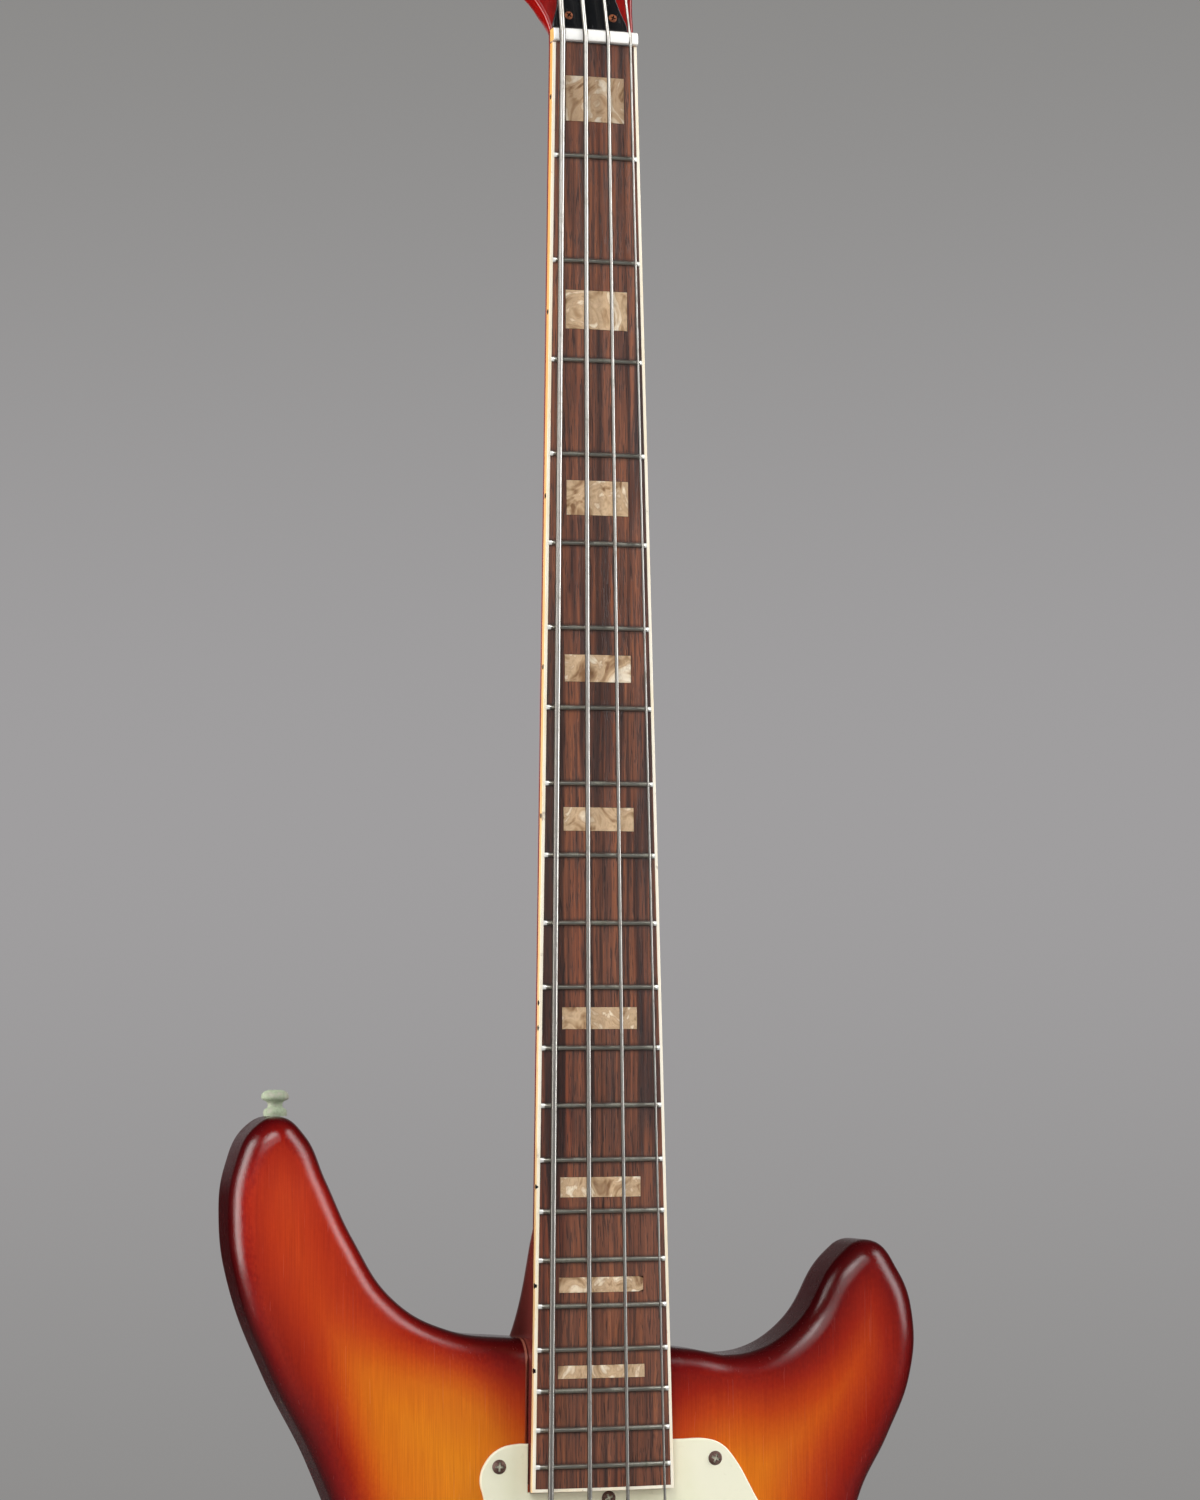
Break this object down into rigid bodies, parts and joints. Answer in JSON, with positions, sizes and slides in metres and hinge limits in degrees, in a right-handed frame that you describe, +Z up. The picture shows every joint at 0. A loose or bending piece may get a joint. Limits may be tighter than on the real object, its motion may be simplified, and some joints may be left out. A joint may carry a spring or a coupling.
{
  "type": "electric bass guitar",
  "caption": "Solid-body electric bass guitar with a bound, block-inlaid fingerboard, open-geared tuners in line, pickguard, pickups, adjustable bridge and turning controls.",
  "frame": {"origin": "on the centre line at the zero of the fret scale, 1.4 mm below the nut's front edge, in the plane of the body's front face, inside the neck where a hanger's yoke carries it", "axes": "+Z up the neck towards the headstock, the face looks towards -Y, +X to the viewer's right on the treble side"},
  "size_m": [0.3359, 0.0704, 1.1719],
  "materials": {
    "aged_brass": "oxidised green",
    "black_plastic": "polished",
    "bone": "polished",
    "cherry_lacquer": "transparent cherry lacquer",
    "chrome": "plated, lightly dulled",
    "copper_winding": "taped winding on a plastic bobbin",
    "ivory_plastic": "polished, aged ivory",
    "maple": "bare",
    "rosewood": "oiled, open grained",
    "steel": "plain",
    "sunburst_lacquer": "high gloss sunburst lacquer, amber to red to near black",
    "waxed_cloth": "waxed cloth sleeve"
  },
  "bodies": {
    "guitar": {"binding": "ivory_plastic", "body": "sunburst_lacquer", "bridge_pickup_coil": "copper_winding", "bridge_pickup_cover": "chrome", "bridge_pickup_lead": "waxed_cloth", "bridge_plate": "chrome", "fingerboard": "rosewood", "jack_plate": "chrome", "jack_socket": "chrome", "neck": "cherry_lacquer", "neck_pickup_coil": "copper_winding", "neck_pickup_cover": "chrome", "neck_pickup_lead": "waxed_cloth", "output_lead": "waxed_cloth", "pickguard": "ivory_plastic", "selector_frame": "steel", "strap_button_horn": "aged_brass", "strap_button_tail": "aged_brass", "string_1": "steel", "string_2": "steel", "string_3": "steel", "string_4": "steel", "string_nut": "bone", "tone_pot": "steel", "truss_rod": "steel", "truss_rod_cover": "black_plastic", "truss_rod_strip": "maple", "tuner_ferrule_1": "chrome", "tuner_ferrule_2": "chrome", "tuner_ferrule_3": "chrome", "tuner_ferrule_4": "chrome", "tuner_plate_1": "chrome", "tuner_plate_2": "chrome", "tuner_plate_3": "chrome", "tuner_plate_4": "chrome", "volume_pot": "steel"},
    "key_1": {"tuner_key_1": "chrome"},
    "post_1": {"tuner_post_1": "chrome"},
    "key_2": {"tuner_key_2": "chrome"},
    "post_2": {"tuner_post_2": "chrome"},
    "key_3": {"tuner_key_3": "chrome"},
    "post_3": {"tuner_post_3": "chrome"},
    "key_4": {"tuner_key_4": "chrome"},
    "post_4": {"tuner_post_4": "chrome"},
    "saddle_1": {"saddle_1": "chrome"},
    "saddle_adjuster_1": {"saddle_screw_1": "steel"},
    "saddle_2": {"saddle_2": "chrome"},
    "saddle_adjuster_2": {"saddle_screw_2": "steel"},
    "saddle_3": {"saddle_3": "chrome"},
    "saddle_adjuster_3": {"saddle_screw_3": "steel"},
    "saddle_4": {"saddle_4": "chrome"},
    "saddle_adjuster_4": {"saddle_screw_4": "steel"},
    "volume": {"volume_knob": "black_plastic", "volume_shaft": "steel"},
    "tone": {"tone_knob": "black_plastic", "tone_shaft": "steel"},
    "selector": {"selector_lever": "ivory_plastic"},
    "truss_nut": {"truss_rod_nut": "aged_brass"}
  },
  "joints": [
    {"name": "key_1_turn", "type": "hinge", "parent": "guitar", "child": "key_1", "pos_m": [-0.02672, 0.02098, 0.03609], "axis": [0.9852, -0.0297, -0.1686], "continuous": true},
    {"name": "post_1_turn", "type": "hinge", "parent": "guitar", "child": "post_1", "pos_m": [-0.0246, 0.00271, 0.05172], "axis": [0, -0.9848, 0.1736], "continuous": true},
    {"name": "key_2_turn", "type": "hinge", "parent": "guitar", "child": "key_2", "pos_m": [-0.01942, 0.02827, 0.07745], "axis": [0.9852, -0.0297, -0.1686], "continuous": true},
    {"name": "post_2_turn", "type": "hinge", "parent": "guitar", "child": "post_2", "pos_m": [-0.0173, 0.01001, 0.09308], "axis": [0, -0.9848, 0.1736], "continuous": true},
    {"name": "key_3_turn", "type": "hinge", "parent": "guitar", "child": "key_3", "pos_m": [-0.01212, 0.03556, 0.11881], "axis": [0.9852, -0.0297, -0.1686], "continuous": true},
    {"name": "post_3_turn", "type": "hinge", "parent": "guitar", "child": "post_3", "pos_m": [-0.01, 0.0173, 0.13444], "axis": [0, -0.9848, 0.1736], "continuous": true},
    {"name": "key_4_turn", "type": "hinge", "parent": "guitar", "child": "key_4", "pos_m": [-0.00482, 0.04286, 0.16018], "axis": [0.9852, -0.0297, -0.1686], "continuous": true},
    {"name": "post_4_turn", "type": "hinge", "parent": "guitar", "child": "post_4", "pos_m": [-0.0027, 0.02459, 0.1758], "axis": [0, -0.9848, 0.1736], "continuous": true},
    {"name": "saddle_screw_1_turn", "type": "hinge", "parent": "guitar", "child": "saddle_adjuster_1", "pos_m": [-0.0288, -0.006, -0.902], "axis": [0, 0, 1], "range_deg": [-3610, 520]},
    {"name": "saddle_1_slide", "type": "slide", "parent": "guitar", "child": "saddle_1", "axis": [0, 0, 1], "range_m": [-0.001, 0.007]},
    {"name": "saddle_screw_2_turn", "type": "hinge", "parent": "guitar", "child": "saddle_adjuster_2", "pos_m": [-0.0096, -0.006, -0.902], "axis": [0, 0, 1], "range_deg": [-3610, 520]},
    {"name": "saddle_2_slide", "type": "slide", "parent": "guitar", "child": "saddle_2", "axis": [0, 0, 1], "range_m": [-0.001, 0.007]},
    {"name": "saddle_screw_3_turn", "type": "hinge", "parent": "guitar", "child": "saddle_adjuster_3", "pos_m": [0.0096, -0.006, -0.902], "axis": [0, 0, 1], "range_deg": [-3610, 520]},
    {"name": "saddle_3_slide", "type": "slide", "parent": "guitar", "child": "saddle_3", "axis": [0, 0, 1], "range_m": [-0.001, 0.007]},
    {"name": "saddle_screw_4_turn", "type": "hinge", "parent": "guitar", "child": "saddle_adjuster_4", "pos_m": [0.0288, -0.006, -0.902], "axis": [0, 0, 1], "range_deg": [-3610, 520]},
    {"name": "saddle_4_slide", "type": "slide", "parent": "guitar", "child": "saddle_4", "axis": [0, 0, 1], "range_m": [-0.001, 0.007]},
    {"name": "volume_turn", "type": "hinge", "parent": "guitar", "child": "volume", "pos_m": [0.092, 0, -0.778], "axis": [0, -1, 0], "range_deg": [-135, 135]},
    {"name": "tone_turn", "type": "hinge", "parent": "guitar", "child": "tone", "pos_m": [0.095, 0, -0.828], "axis": [0, -1, 0], "range_deg": [-135, 135]},
    {"name": "selector_tilt", "type": "hinge", "parent": "guitar", "child": "selector", "pos_m": [0.076, 0, -0.722], "axis": [1, 0, 0], "range_deg": [-12, 12]},
    {"name": "truss_nut_turn", "type": "hinge", "parent": "guitar", "child": "truss_nut", "pos_m": [0, 0.0017, 0], "axis": [0, 0, 1], "range_deg": [-180, 180]}
  ],
  "couplings": [
    {"joint": "post_1_turn", "follows": "key_1_turn", "ratio": 0.05},
    {"joint": "post_2_turn", "follows": "key_2_turn", "ratio": 0.05},
    {"joint": "post_3_turn", "follows": "key_3_turn", "ratio": 0.05},
    {"joint": "post_4_turn", "follows": "key_4_turn", "ratio": 0.05},
    {"joint": "saddle_screw_1_turn", "follows": "saddle_1_slide", "rad_per_m": -8976},
    {"joint": "saddle_screw_2_turn", "follows": "saddle_2_slide", "rad_per_m": -8976},
    {"joint": "saddle_screw_3_turn", "follows": "saddle_3_slide", "rad_per_m": -8976},
    {"joint": "saddle_screw_4_turn", "follows": "saddle_4_slide", "rad_per_m": -8976}
  ]
}
